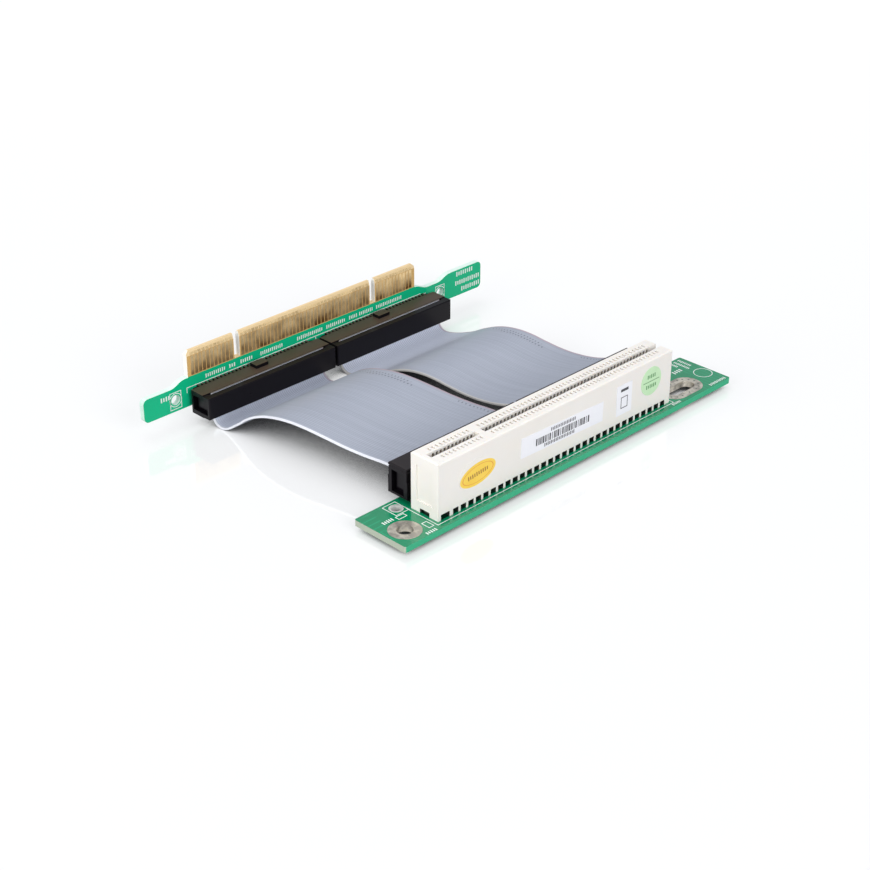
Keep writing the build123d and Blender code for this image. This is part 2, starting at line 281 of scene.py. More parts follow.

# %% [markdown]
# Both boards are green glass-fibre laminate. Glossy green lacquer covers their faces, and the
# copper tracks under it show as slightly lighter, raised lines. Their cut edges are bare
# laminate, pale green and matt, and the edges at the ends of each board are painted in another
# colour, a painted difference in light. Under the housing the slot board gets no light, so it is
# painted nearly black there, a painted shade. On the plug board the lacquer stops at the foot of
# the contacts, and the laminate between the gold strips is the colour of honey, paler on the bevel
# and nearly white where it is cut.

# %% Board material
CROSS_TRACK_STEP = 1.9
TRACK_GREEN = (0.012, 0.46, 0.23)
PAINTED_SHADE_UNDER_HOUSING = (0.002, 0.018, 0.010)
plug_foot_z = spot(0, 0, PLUG_FOOT).z


def board_finish(name, across, edges, lacquers, gloss, tracks_seen, tab_above=None):
    """Green lacquer over copper tracks, bare cut edges and, on the plug board, a bare tab."""
    f = Finish(name)
    f.shader.inputs["Coat Roughness"].default_value = 0.08
    f.shader.inputs["Specular IOR Level"].default_value = gloss
    stripe = f.math("PINGPONG", f.times(f.axis("X"), 1000 / PITCH), 0.5)
    patch = f.ramp(f.noise(11, detail=1), 0.53, 0.56)
    cross = f.math("PINGPONG", f.times(f.axis(across), 1000 / CROSS_TRACK_STEP), 0.5)
    cross = f.times(f.ramp(cross, 0.10, 0.07), f.ramp(f.noise(14, detail=1), 0.56, 0.59))
    tracks = f.math("MAXIMUM", f.times(f.ramp(stripe, 0.13, 0.09), patch), cross)
    lacquer = f.mix(f.noise(22, detail=2), *lacquers)
    lacquer = f.mix(f.times(tracks, tracks_seen), lacquer, TRACK_GREEN)
    flat = f.ramp(f.math("ABSOLUTE", f.facing("Z" if across == "Y" else "Y")), 0.4, 0.6)
    end_on = f.ramp(f.math("ABSOLUTE", f.facing("X")), 0.4, 0.6)
    # Edges that face along X, at the ends of the board, get a colour of their own: a painted
    # difference in light.
    cut = f.mix(end_on, f.mix(f.noise(0.5), *edges[:2]), edges[2])
    colour = f.mix(flat, cut, lacquer)
    shiny = flat
    if tab_above is None:
        # Under the housing the lacquer is painted nearly black: a painted shade.
        covered = f.inside(f.math("GREATER_THAN", f.facing("Z"), 0.5),
                           ("X", HOUSING_MIDDLE, 42.2), ("Y", SLOT_MIDDLE, 4.3))
        colour = f.mix(f.times(covered, 0.9), colour, PAINTED_SHADE_UNDER_HOUSING)
    else:
        bare = f.mix(f.noise(0.4), (0.62, 0.38, 0.13), (0.74, 0.48, 0.19))
        bare = f.mix(f.ramp(f.facing("Z"), 0.1, 0.25), bare, (0.83, 0.63, 0.36))
        bare = f.mix(end_on, bare, (0.92, 0.90, 0.84))
        tab = f.math("GREATER_THAN", f.axis("Z"), tab_above)
        colour = f.mix(tab, colour, bare)
        shiny = f.times(flat, f.math("SUBTRACT", 1.0, tab))
    f.link(colour, "Base Color")
    rough = f.math("ADD", f.times(shiny, -0.4), f.times(f.noise(3.0), 0.12))
    f.link(f.math("ADD", rough, 0.54), "Roughness")
    f.link(f.times(shiny, gloss), "Coat Weight")
    f.bump(f.math("ADD", f.times(tracks, 0.6), f.times(f.noise(0.35), 0.08)), 0.025, 0.5)
    return f


slot_green = board_finish("green lacquer, slot board", "Y",
                          edges=((0.015, 0.35, 0.17), (0.04, 0.46, 0.24), (0.40, 0.45, 0.36)),
                          lacquers=((0.002, 0.205, 0.085), (0.003, 0.30, 0.135)),
                          gloss=0.5, tracks_seen=0.45)
plug_green = board_finish("green lacquer, plug board", "Z",
                          edges=((0.66, 0.86, 0.76), (0.80, 0.92, 0.86), (0.60, 0.80, 0.70)),
                          lacquers=((0.004, 0.42, 0.195), (0.006, 0.54, 0.265)),
                          gloss=0.1, tracks_seen=0.25, tab_above=plug_foot_z + 0.15 * MM)
dress(slot_green, "slot_board")
dress(plug_green, "plug_board")
print("boards dressed")

# %% [markdown]
# The slot is moulded in an ivory nylon with a fine satin skin. Light goes a little way into it, so
# its edges look soft, and the moulding has faint cloudy flow marks. Narrow gaps, such as those
# between the feet, get little light, so an ambient occlusion node darkens their colour, a painted
# shade, and what lies between the feet is painted darker still.

# %% Ivory moulding
ivory = Finish("ivory moulding", roughness=0.42)
ivory.shader.inputs["Subsurface Weight"].default_value = 0.15
ivory.shader.inputs["Subsurface Radius"].default_value = (0.0012, 0.0009, 0.0006)
ivory.shader.inputs["Subsurface Scale"].default_value = 0.5
clean_skin = ivory.mix(ivory.noise(12), (0.83, 0.79, 0.74), (0.88, 0.85, 0.81))
# Ambient occlusion darkens the colour in narrow gaps: a painted shade.
painted_gap_shade = ivory.ramp(ivory.open_air(0.003, samples=8), 0.06, 0.32)
skin = ivory.mix(painted_gap_shade, (0.22, 0.16, 0.11), clean_skin)
# Between the feet the colour is nearly black: a painted shade.
painted_shade_between_feet = ivory.inside(1.0, ("X", HOUSING_MIDDLE, 42.3), ("Y", SLOT_MIDDLE, 4.42),
                            ("Z", 0.0, 1.55))
ivory.link(ivory.mix(ivory.times(painted_shade_between_feet, 0.93), skin, (0.012, 0.012, 0.010)), "Base Color")
flow_marks = ivory.times(ivory.noise(6, 1), 0.8)
ivory.bump(ivory.math("ADD", ivory.noise(0.25, 4), flow_marks), 0.02, 0.35)
dress(ivory, "slot_housing", "slot_wall_front", "slot_wall_rear", "slot_end_left",
      "slot_end_right", "slot_key_rib")
print("ivory pieces dressed")

# %% [markdown]
# The contacts are copper alloy under a thin layer of gold. Plating is never even: it has darker
# clouds, and fine scratches along the way that a card or a socket slides. A stretched noise makes
# the scratches, and it moves the roughness and the bump. Every contact is painted darker towards
# its foot and paler towards its top, a painted shade and a painted highlight. Soft light spreads
# on the strips of the tab more than on a mirror, so they are only partly metal. The header tails
# are tinned, which looks white and a little patchy.


# %% Gold plating and tin
def gold_finish(name, pale, dark, foot, head, metal=1.0):
    """Plated metal with scratches along the height of the contact, and a painted shade towards its
    foot.
    """
    f = Finish(name, metal=metal)
    stretch = {"Vector": f.place, "Scale": (9000, 9000, 500)}
    stretched = f.add("ShaderNodeMapping", stretch).outputs["Vector"]
    scratch_inputs = {"Vector": stretched, "Scale": 1.0, "Detail": 3.0}
    scratch = f.add("ShaderNodeTexNoise", scratch_inputs).outputs["Fac"]
    cloud = f.times(f.ramp(f.noise(5, 2), 0.35, 0.65), 0.55)
    # Darker at the foot and paler at the head: a painted shade and a painted highlight.
    height = f.times(f.ramp(f.axis("Z"), foot, head), 0.6)
    f.link(f.mix(f.math("ADD", cloud, height, clamp=True), dark, pale), "Base Color")
    f.link(f.between(scratch, 0.18, 0.42), "Roughness")
    f.bump(scratch, 0.006, 0.5)
    return f


finger_gold = gold_finish("finger gold", (0.94, 0.70, 0.36), (0.16, 0.07, 0.012),
                          plug_foot_z + 1 * MM, plug_foot_z + 5.5 * MM, metal=0.6)
spring_gold = gold_finish("spring gold", (0.50, 0.36, 0.16), (0.22, 0.14, 0.05),
                          zero.z + 6 * MM, zero.z + 14 * MM)
dress(finger_gold, "edge_fingers_front", "edge_fingers_rear")
dress(spring_gold, "slot_contacts_front", "slot_contacts_rear")

tin = Finish("bright tin", metal=1.0)
tin.link(tin.mix(tin.noise(0.8), (0.55, 0.55, 0.54), (0.80, 0.80, 0.78)), "Base Color")
tin.link(tin.between(tin.noise(0.5), 0.18, 0.5), "Roughness")
tin.bump(tin.noise(0.4), 0.02, 0.4)
dress(tin, "header_tails_plug")
print("metals dressed")

# %% [markdown]
# The connectors are black glass-filled plastic. It is nearly black but never quite. Faces that
# look up get a painted reflection of what is above them, which is brown below the gold contacts.
# A grain of about a fifth of a millimetre and a few pale specks keep it from looking like glass.


# %% Black moulding
def black_finish(name, top, above):
    """Black plastic with a grain, dust specks and a painted reflection on the top faces."""
    f = Finish(name)
    f.shader.inputs["Specular IOR Level"].default_value = 0.15
    speck = f.ramp(f.noise(0.7, 5, 0.7), 0.72, 0.78)
    # Faces that look up, above a given height, are paler: a painted reflection of what is above
    # them.
    high = f.math("GREATER_THAN", f.axis("Z"), above)
    painted_top_reflection = f.times(f.ramp(f.facing("Z"), 0.3, 0.9), high)
    body = f.mix(painted_top_reflection, (0.005, 0.004, 0.006), top)
    f.link(f.mix(speck, body, (0.06, 0.06, 0.06)), "Base Color")
    f.link(f.between(f.noise(2.0), 0.24, 0.38), "Roughness")
    f.bump(f.noise(0.22, 3), 0.006, 0.35)
    return f


black = black_finish("black moulding", (0.026, 0.022, 0.024), zero.z + 6.8 * MM)
brown_black = black_finish("black moulding under the gold", (0.070, 0.050, 0.036),
                           zero.z + 6.5 * MM)
CONNECTOR_PARTS = ("header_base", "ribbon_socket", "ribbon_cap")
for board, finish in (("slot", black), ("plug", brown_black)):
    names = [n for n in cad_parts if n.startswith(CONNECTOR_PARTS) and board in n]
    dress(finish, *names)
    print(board, len(names), "connector pieces dressed")

# %% [markdown]
# A ribbon cable is sixty thin wires side by side, joined edge to edge. We start with the way that
# it takes: out of the slot connector, over a low hump, down to the table and up into the plug
# connector. A Bezier curve through a few points makes that way smooth, and Blender reads fine
# points from it. A clean quarter turn, with its two handles given, leads up into the plug
# connector.

# %% Ribbon route
WIRES = 60
WIRE_STEP = 0.635
RIBBON_THICK = 0.65
RIBBON_LEVEL = 6.275
SLOT_CUT_Y = 10.4
SLOT_EXIT_Y = 16.9
PLUG_SEAM_Y = 77.825
PLUG_EXIT_Z = 0.15
PLUG_CUT_Z = 6.65
LOW_BEND_Z = -2.675
TURN = PLUG_EXIT_Z - LOW_BEND_Z
QUARTER_CIRCLE_HANDLE = 0.5523
free_runs = {
    "left": ((20.5, 6.45), (26.5, 6.25), (33.0, 6.35), (40.0, 6.85), (46.0, 7.2), (51.5, 7.15),
             (57.0, 6.4), (62.0, 4.9), (66.0, 2.75), (69.3, 0.2)),
    "right": ((20.0, 5.75), (24.5, 4.6), (30.0, 3.95), (35.5, 4.0), (41.0, 4.65), (46.0, 5.35),
              (51.0, 5.35), (56.0, 4.4), (61.0, 2.4), (66.5, -0.4)),
}


def route_points(hand):
    """Reads evenly fine points, as (y, z) in millimetres, from a Bezier curve through the run."""
    bpy.ops.curve.primitive_bezier_curve_add(location=(0, 0, 0))
    route = bpy.context.object
    route.name = "route"
    line = route.data.splines[0]
    run = [(SLOT_CUT_Y, RIBBON_LEVEL), (SLOT_EXIT_Y, RIBBON_LEVEL), *free_runs[hand],
           (PLUG_SEAM_Y - TURN, LOW_BEND_Z), (PLUG_SEAM_Y, PLUG_EXIT_Z), (PLUG_SEAM_Y, PLUG_CUT_Z)]
    line.bezier_points.add(len(run) - 2)
    for point, (y, z) in zip(line.bezier_points, run):
        point.co = (0, y, z)
        point.handle_left_type = point.handle_right_type = "AUTO"
    handle = QUARTER_CIRCLE_HANDLE * TURN
    fixed = ((1, (0, 2, 0), (0, 1.2, 0)), (-3, (0, 2.4, 0), (0, handle, 0)),
             (-2, (0, 0, handle), (0, 0, 2)))
    for index, before, after in fixed:
        point = line.bezier_points[index]
        point.handle_left_type = point.handle_right_type = "FREE"
        point.handle_left = point.co - Vector(before)
        point.handle_right = point.co + Vector(after)
    for point in (line.bezier_points[0], line.bezier_points[-1]):
        point.handle_left_type = point.handle_right_type = "VECTOR"
    route.data.resolution_u = 6
    mesh = bpy.data.meshes.new_from_object(route)
    points = [(v.co.y, v.co.z) for v in mesh.vertices]
    bpy.data.meshes.remove(mesh)
    bpy.data.objects.remove(route)
    return points


print("route of the left ribbon:", len(route_points("left")), "points")

# %% [markdown]
# Each wire makes a low round ridge, so the ribbon has fine lines all along it and shines in
# streaks. We lay a fine grid along the route with four columns to a wire. Solidify then gives the
# sheet its thickness, full at each wire and thin between wires, as a vertex group tells it.
# Inside the connectors the ribbon is crushed flat, so there the group has no weight. The ridges
# are real geometry this way, and they follow every bend.

# %% Ribbon sheets
CORNERS = {"left": (2.65, -4.35), "right": (46.65, 39.65)}
RIDGE = (0.51, 0.87, 1.0, 0.87)
CRUSHED_THICKNESS = 0.3


def ribbon(hand):
    """One ribbon: a grid laid along its route, then given the thickness of its wires."""
    points = route_points(hand)
    columns = WIRES * len(RIDGE)
    rows = len(points) - 1
    bpy.ops.mesh.primitive_grid_add(x_subdivisions=columns, y_subdivisions=rows, size=1,
                                    calc_uvs=True)
    sheet = bpy.context.object
    sheet.name = "ribbon_" + hand + "_wires"
    x_slot, x_plug = CORNERS[hand]
    group = sheet.vertex_groups.new(name="ridge")
    for vertex in sheet.data.vertices:
        column = round((vertex.co.x + 0.5) * columns)
        y, z = points[round((vertex.co.y + 0.5) * rows)]
        lean = (y - SLOT_EXIT_Y) / (PLUG_SEAM_Y - SLOT_EXIT_Y)
        x = x_slot + (x_plug - x_slot) * lean + column * WIRE_STEP / len(RIDGE)
        vertex.co = spot(x, y, z)
        in_slot_connector = y < SLOT_EXIT_Y - 0.3
        in_plug_connector = y > PLUG_SEAM_Y - 0.05 and z > PLUG_EXIT_Z + 0.2
        crushed = in_slot_connector or in_plug_connector
        group.add([vertex.index], 0.0 if crushed else RIDGE[column % len(RIDGE)], "REPLACE")
    solid = sheet.modifiers.new("thickness", "SOLIDIFY")
    solid.thickness = RIBBON_THICK * MM
    solid.offset = 0
    solid.vertex_group = "ridge"
    solid.thickness_vertex_group = CRUSHED_THICKNESS
    bpy.context.view_layer.objects.active = sheet
    bpy.ops.object.modifier_apply(modifier="thickness")
    bpy.ops.object.mode_set(mode="EDIT")
    bpy.ops.mesh.select_all(action="SELECT")
    bpy.ops.mesh.normals_make_consistent(inside=False)
    bpy.ops.object.mode_set(mode="OBJECT")
    bpy.ops.object.shade_smooth_by_angle(angle=math.radians(55))
    sheet.select_set(False)
    return sheet


ribbons = {hand: ribbon(hand) for hand in ("left", "right")}
for hand, sheet in ribbons.items():
    print(sheet.name, len(sheet.data.polygons), "faces")

# %% [markdown]
# The ribbon's skin is blue-grey vinyl. Its colour changes a little from wire to wire, so the
# pattern follows the sheet's own UV map, whose U runs across the wires and V along them. The
# grooves between the wires are painted darker, most near the ends, a painted shade. The right edge
# wire has a faint red mark, as the first wire of such a cable has, and the left edge wire is
# painted pale, a painted highlight. Near the standing board the vinyl is painted paler, a painted
# glow of the light that the board throws back on it. Rows of small grey dashes stand for the print
# on such cable.

# %% Ribbon skin
MARKED_WIRE = 1 - 0.9 / WIRES
EDGE_WIRE = 0.8 / WIRES
DASH_ROWS = ((0.935, 0.42, 0.66), (0.905, 0.40, 0.60), (0.955, 0.10, 0.26))
DASHES_ALONG = 74.0


def ribbon_skin(hand, painted_edge_highlight, painted_bounce_light):
    """Blue-grey vinyl with streaks along the wires, a marked wire and faint printed dashes."""
    f = Finish("ribbon vinyl, " + hand, coat=0.2)
    f.shader.inputs["Coat Roughness"].default_value = 0.2
    uv = f.add("ShaderNodeTexCoord").outputs["UV"]
    parts = f.add("ShaderNodeSeparateXYZ", {0: uv}).outputs
    u, v = parts["X"], parts["Y"]
    streak_place = f.add("ShaderNodeMapping", {"Vector": uv, "Scale": (60, 1.2, 1)})
    streak_inputs = {"Vector": streak_place.outputs["Vector"], "Scale": 1.0, "Detail": 2.0}
    streak = f.add("ShaderNodeTexNoise", streak_inputs).outputs["Fac"]
    # The grooves between the wires are painted darker, most near the ends: a painted shade.
    painted_groove_shade = f.ramp(f.math("PINGPONG", f.times(u, float(WIRES)), 0.5), 0.18, 0.0)
    near_end = f.ramp(f.math("ABSOLUTE", f.math("SUBTRACT", v, 0.45)), 0.18, 0.42)
    depth = f.math("ADD", f.times(near_end, 0.35), 0.22)
    vinyl = f.mix(f.ramp(streak, 0.3, 0.7), (0.325, 0.355, 0.430), (0.380, 0.412, 0.492))
    # Near the plug end the vinyl is painted paler: a painted glow of light thrown back by the
    # board.
    vinyl = f.mix(f.times(f.ramp(v, 0.74, 0.90), 0.9), vinyl, painted_bounce_light)
    vinyl = f.mix(f.times(painted_groove_shade, depth), vinyl, (0.13, 0.14, 0.19))
    marked = f.times(f.math("GREATER_THAN", u, MARKED_WIRE), 0.4)
    vinyl = f.mix(marked, vinyl, (0.46, 0.20, 0.23))
    # The left edge wire is painted pale: a painted highlight.
    vinyl = f.mix(f.math("LESS_THAN", u, EDGE_WIRE), vinyl, painted_edge_highlight)
    for middle, start, stop in DASH_ROWS:
        band = f.math("LESS_THAN", f.math("ABSOLUTE", f.math("SUBTRACT", u, middle)), 0.009)
        span = f.times(f.math("GREATER_THAN", v, start), f.math("LESS_THAN", v, stop))
        dash = f.math("LESS_THAN", f.math("PINGPONG", f.times(v, DASHES_ALONG), 0.5), 0.17)
        mark = f.times(f.times(band, span), dash)
        vinyl = f.mix(f.times(mark, 0.75), vinyl, (0.11, 0.12, 0.15))
    cut_end = f.math("GREATER_THAN", f.math("ABSOLUTE", f.math("SUBTRACT", v, 0.5)), 0.498)
    f.link(f.mix(cut_end, vinyl, (0.17, 0.155, 0.145)), "Base Color")
    f.link(f.between(f.noise(3.0), 0.28, 0.46), "Roughness")
    f.bump(f.noise(0.6, 2), 0.01, 0.4)
    return f


skins = {"left": ribbon_skin("left", painted_edge_highlight=(0.78, 0.80, 0.87), painted_bounce_light=(0.62, 0.67, 0.80)),
         "right": ribbon_skin("right", painted_edge_highlight=(0.50, 0.49, 0.48), painted_bounce_light=(0.74, 0.79, 0.93))}
for hand, sheet in ribbons.items():
    sheet.data.materials.append(skins[hand].material)
    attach(sheet, "root")
    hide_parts("ribbon_" + hand)
    print(sheet.name, "wears", skins[hand].material.name)

# %% [markdown]
# Many small things repeat: solder joints, comb teeth, printed bars. Each is modelled once, at its
# size, and then copied to its places. Each copy gets its own mesh, and the copies are joined into
# one piece. These helpers keep that short. A place is a matrix: where it is, which way its face
# looks, and how far it is turned and stretched.

# %% Helpers for small pieces
FLAT = Matrix.Identity(4)
UPRIGHT = Matrix.Rotation(math.radians(90), 4, "X")
BACKWARDS = Matrix.Rotation(math.radians(-90), 4, "X")
UNDER = Matrix.Rotation(math.radians(180), 4, "X")


def put(x, y, z, face=FLAT, turn=0.0, size=(1, 1, 1)):
    """A place for a copy, in millimetres, on a face that looks up, forwards, backwards or down."""
    return (Matrix.Translation(spot(x, y, z)) @ face @ Matrix.Rotation(math.radians(turn), 4, "Z")
            @ Matrix.Diagonal((*size, 1)))


def hold(*pieces):
    """Selects these pieces and nothing else."""
    bpy.ops.object.select_all(action="DESELECT")
    for piece in pieces:
        piece.select_set(True)
    bpy.context.view_layer.objects.active = pieces[0]


def pick_faces(piece, wanted):
    """Goes into edit mode with only the wanted faces selected."""
    bpy.ops.object.mode_set(mode="EDIT")
    bpy.ops.mesh.select_mode(type="FACE")
    bpy.ops.mesh.select_all(action="DESELECT")
    bpy.ops.object.mode_set(mode="OBJECT")
    for face in piece.data.polygons:
        face.select = wanted(face)
    bpy.ops.object.mode_set(mode="EDIT")


def looks_up(face):
    return face.normal.z > 0.9


def join_up(pieces, name):
    """Joins pieces into one."""
    bpy.context.view_layer.update()
    hold(*pieces)
    bpy.ops.object.join()
    bpy.context.object.name = name
    return bpy.context.object


def spread(master, name, places):
    """Copies a modelled piece to its places, each with its own mesh, and joins the copies."""
    copies = []
    for place in places:
        twin = master.copy()
        twin.data = master.data.copy()
        bpy.context.collection.objects.link(twin)
        twin.matrix_world = place
        copies.append(twin)
    bpy.data.objects.remove(master)
    return join_up(copies, name)


def settle(piece, finish):
    """Puts a piece's place into its mesh, gives it its finish and lets it ride with the model."""
    hold(piece)
    bpy.ops.object.transform_apply(location=True, rotation=True, scale=True)
    piece.data.materials.clear()
    piece.data.materials.append(finish.material)
    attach(piece, "root")
    piece.select_set(False)
    print(piece.name, len(piece.data.polygons), "faces")


def soft_block(size, bevel):
    """A block that stands on zero, in millimetres, with the edges round its top bevelled."""
    bpy.ops.mesh.primitive_cube_add(size=MM, location=(0, 0, 0.5 * MM))
    piece = bpy.context.object
    bpy.ops.object.transform_apply(location=True)
    piece.scale = size
    bpy.ops.object.transform_apply(scale=True)
    pick_faces(piece, looks_up)
    bpy.ops.mesh.bevel(offset=bevel * MM, segments=1, affect="EDGES")
    bpy.ops.object.mode_set(mode="OBJECT")
    return piece


def turned_ring(loops, stretch=0.0, corners=48):
    """A closed ring whose section passes through (radius, height) points, in millimetres."""
    radius, height = loops[0]
    bpy.ops.mesh.primitive_circle_add(vertices=corners, radius=radius * MM,
                                      location=(0, 0, height * MM))
    piece = bpy.context.object
    bpy.ops.object.transform_apply(location=True)
    bpy.ops.object.mode_set(mode="EDIT")
    bpy.ops.mesh.select_mode(type="EDGE")
    bpy.ops.mesh.select_all(action="SELECT")
    for next_radius, next_height in [*loops[1:], loops[0]]:
        rise = (0, 0, (next_height - height) * MM)
        bpy.ops.mesh.extrude_edges_move(TRANSFORM_OT_translate={"value": rise})
        grow = next_radius / radius
        bpy.ops.transform.resize(value=(grow, grow, 1), center_override=(0, 0, next_height * MM))
        radius, height = next_radius, next_height
    bpy.ops.mesh.select_all(action="SELECT")
    bpy.ops.mesh.remove_doubles(threshold=0.000002)
    bpy.ops.mesh.normals_make_consistent(inside=False)
    if stretch:
        bpy.ops.mesh.select_mode(type="VERT")
        bpy.ops.mesh.select_all(action="DESELECT")
        bpy.ops.object.mode_set(mode="OBJECT")
        for vertex in piece.data.vertices:
            vertex.select = vertex.co.x > 0.000002
        bpy.ops.object.mode_set(mode="EDIT")
        bpy.ops.transform.translate(value=(stretch * MM, 0, 0))
    bpy.ops.object.mode_set(mode="OBJECT")
    return piece


# %% [markdown]
# The walls of the card slot have a slit for every contact. On the real moulding the slits are
# closed at the top by a narrow lip beside the card, so from above one sees the card slot, a plain
# strip, and then the row of slits. The lip is made of one small bridge in each slit, with its top
# edges bevelled. Behind it a small shelf makes the slit shallow, and below it the slit is open to
# the card slot, where it shows as a row of dark windows. Two places have no contact: the key rib
# is there.

# %% Lips and shelves in the slits
SLOT_TOP = 15.2
FIRST_CONTACT = 3.685
PLACES_IN_ROW = 62
KEY_RIB_PLACES = (11, 12)
SLIT_WIDE = 0.7
contact_x = [FIRST_CONTACT + i * PITCH for i in range(PLACES_IN_ROW) if i not in KEY_RIB_PLACES]
for name, side in (("front", -1), ("rear", 1)):
    for kind, deep, high, start, foot in (("lips", 0.75, 0.5, 0.9, SLOT_TOP - 0.5),
                                          ("shelves", 1.25, 1.0, 1.65, SLOT_TOP - 1.35)):
        block = soft_block((SLIT_WIDE, deep, high), 0.05)
        middle = SLOT_MIDDLE + side * (start + deep / 2)
        places = [put(x, middle, foot) for x in contact_x]
        settle(spread(block, "slit_" + kind + "_" + name, places), ivory)

# %% [markdown]
# The base of each ribbon connector is a comb. Its teeth show as a dark serrated edge along the
# board. One tooth is a small bevelled block, and each connector has thirty on each long side.

# %% Comb teeth of the connector bases
SLOT_MIDDLES = (21.7, 65.7)
PLUG_MIDDLES = (14.7, 58.7)
SLOT_CONNECTOR_Y = 10.4
PLUG_SOCKET_Z = 6.65
TOOTH_SIZE = (0.72, 0.5, 1.28)
TOOTH_ROWS = (0.25, 4.95)
PINS_IN_ROW = 30
pin_shifts = [(i - (PINS_IN_ROW - 1) / 2) * PITCH for i in range(PINS_IN_ROW)]
places = [put(middle + shift, SLOT_CONNECTOR_Y + row, 0)
          for middle in SLOT_MIDDLES for shift in pin_shifts for row in TOOTH_ROWS]
settle(spread(soft_block(TOOTH_SIZE, 0.1), "comb_teeth_slot", places), black)
places = [put(middle + shift, PLUG_BOARD_Y, PLUG_SOCKET_Z - row, UPRIGHT)
          for middle in PLUG_MIDDLES for shift in pin_shifts for row in TOOTH_ROWS]
settle(spread(soft_block(TOOTH_SIZE, 0.1), "comb_teeth_plug", places), brown_black)

# %% [markdown]
# A lid clips over each slot connector and presses the ribbon onto its contacts. It is a shallow
# plate with a bevelled rim, just high enough to peep over the slot as a thin black line.

# %% Lids of the slot connectors
LID_SIZE = (43.0, 6.2, 0.7)
CAP_TOP = 8.6
places = [put(middle, SLOT_CONNECTOR_Y + 3.4, CAP_TOP) for middle in SLOT_MIDDLES]
settle(spread(soft_block(LID_SIZE, 0.2), "slot_connector_lids", places), black)

# %% [markdown]
# Both mounting holes are plated: a flat ring of metal on each face of the board, joined by a
# sleeve through the hole. Such a part is round, so its section is drawn once and carried round a
# circle by extruding and resizing the circle's edge. The oblong one is the same ring with one
# half moved along.


# %% Plated holes
def plated_section(outer, inner, sleeve):
    """Points of a ring on each face of the board and the sleeve that joins them."""
    over, face, under_face, under = 0.05, 0.01, -BOARD_THICK - 0.01, -BOARD_THICK - 0.05
    return [(outer, over), (inner, over), (inner, under), (outer, under), (outer, under_face),
            (sleeve, under_face), (sleeve, face), (outer, face)]


HOLE_ROW_Y = 2.95
ROUND_HOLE_X = -7.85
OBLONG_X = 90.3
OBLONG_TRAVEL = 5.8
plating = Finish("tinned copper", roughness=0.34, metal=0.75)
patches = plating.ramp(plating.noise(2.2, 3), 0.42, 0.6)
plating.link(plating.mix(patches, (0.46, 0.43, 0.38), (0.82, 0.77, 0.66)), "Base Color")
plating.bump(plating.noise(1.1, 3), 0.03, 0.6)
for name, x, outer, stretch in (("round_hole_plating", ROUND_HOLE_X, 4.1, 0.0),
                                ("oblong_hole_plating", OBLONG_X, 4.25, OBLONG_TRAVEL)):
    rim = turned_ring(plated_section(outer, 2.05, 2.09), stretch)
    rim.name = name
    rim.location = spot(x, HOLE_ROW_Y, 0)
    settle(rim, plating)

# %% [markdown]
# The slot board also has a small hole beside each end of its connectors, where their latches
# hold. Its plating is brighter and whiter, because solder has run over it. It is the same kind of
# ring, only smaller.

# %% Plated latch holes of the slot board
LATCH_HOLES = ((-2.7, 11.3), (90.1, 11.3))
bright_pad = Finish("bright solder pad", metal=0.3)
pad_grey = bright_pad.mix(bright_pad.noise(1.2), (0.62, 0.64, 0.62), (0.80, 0.81, 0.79))
bright_pad.link(pad_grey, "Base Color")
bright_pad.bump(bright_pad.noise(0.6, 3), 0.02, 0.5)
rims = []
for x, y in LATCH_HOLES:
    rim = turned_ring(plated_section(1.8, 1.36, 1.395), corners=32)
    rim.matrix_world = put(x, y, 0)
    rims.append(rim)
settle(join_up(rims, "latch_hole_plating"), bright_pad)

# %% [markdown]
# The tab of the plug board is bevelled at its top edge, so that it slides in easily, and the gold
# strips run on over the bevel. Each of these ends is a thin bevelled plate that leans with the
# bevel. They are copied along both faces, and the two key notches are left open.

# %% Gold on the bevel of the tab
TAB_LEAN = 17.8
BEVEL_MIDDLE_Z = 15.85
NOTCH_PLACES = (11, 12, 49, 50)
tip = soft_block((1.02, 0.85, 0.05), 0.015)
places = []
for y, quarter, lean in ((84.228, 90, -TAB_LEAN), (85.572, -90, TAB_LEAN)):
    face = Matrix.Rotation(math.radians(quarter + lean), 4, "X")
    places += [put(PITCH * i + PLUG_LEFT, y, BEVEL_MIDDLE_Z, face)
               for i in range(PLACES_IN_ROW) if i not in NOTCH_PLACES]
settle(spread(tip, "finger_tips", places), finger_gold)

# %% [markdown]
# Sixteen small vias tie the plated rings of the oblong hole together. A via is a drilled hole with
# a rim. A flat eight-sided cone whose top is inset and pushed down gives that dimple.

# %% Small vias round the oblong hole
VIA_REACH = 3.2
via = Finish("drilled via", roughness=0.5)
via.link(via.mix(via.noise(0.6), (0.05, 0.10, 0.07), (0.12, 0.16, 0.12)), "Base Color")
bpy.ops.mesh.primitive_cone_add(vertices=8, radius1=0.26 * MM, radius2=0.2 * MM, depth=0.02 * MM)
dot = bpy.context.object
pick_faces(dot, looks_up)
bpy.ops.mesh.inset(thickness=0.08 * MM, depth=-0.008 * MM)
bpy.ops.object.mode_set(mode="OBJECT")
via_spots = []
for i in range(7):
    angle = math.radians(-90 + 30 * i)
    across, up = VIA_REACH * math.cos(angle), VIA_REACH * math.sin(angle)
    via_spots += [(OBLONG_X + OBLONG_TRAVEL + across, up), (OBLONG_X - across, up)]
via_spots += [(OBLONG_X + OBLONG_TRAVEL / 2, side * VIA_REACH) for side in (-1, 1)]
places = [put(x, HOLE_ROW_Y + up, 0.06) for x, up in via_spots]
settle(spread(dot, "hole_vias", places), via)

# %% [markdown]
# Every contact ends in a tail that goes through the board and is soldered there. A solder joint
# is a small concave cone that runs up the tail. It starts as an eight-sided cone, and its top is
# drawn out by extruding and narrowing it. The tails of the slot's contacts are staggered, near
# and far by turns, so that there is room for the joints.


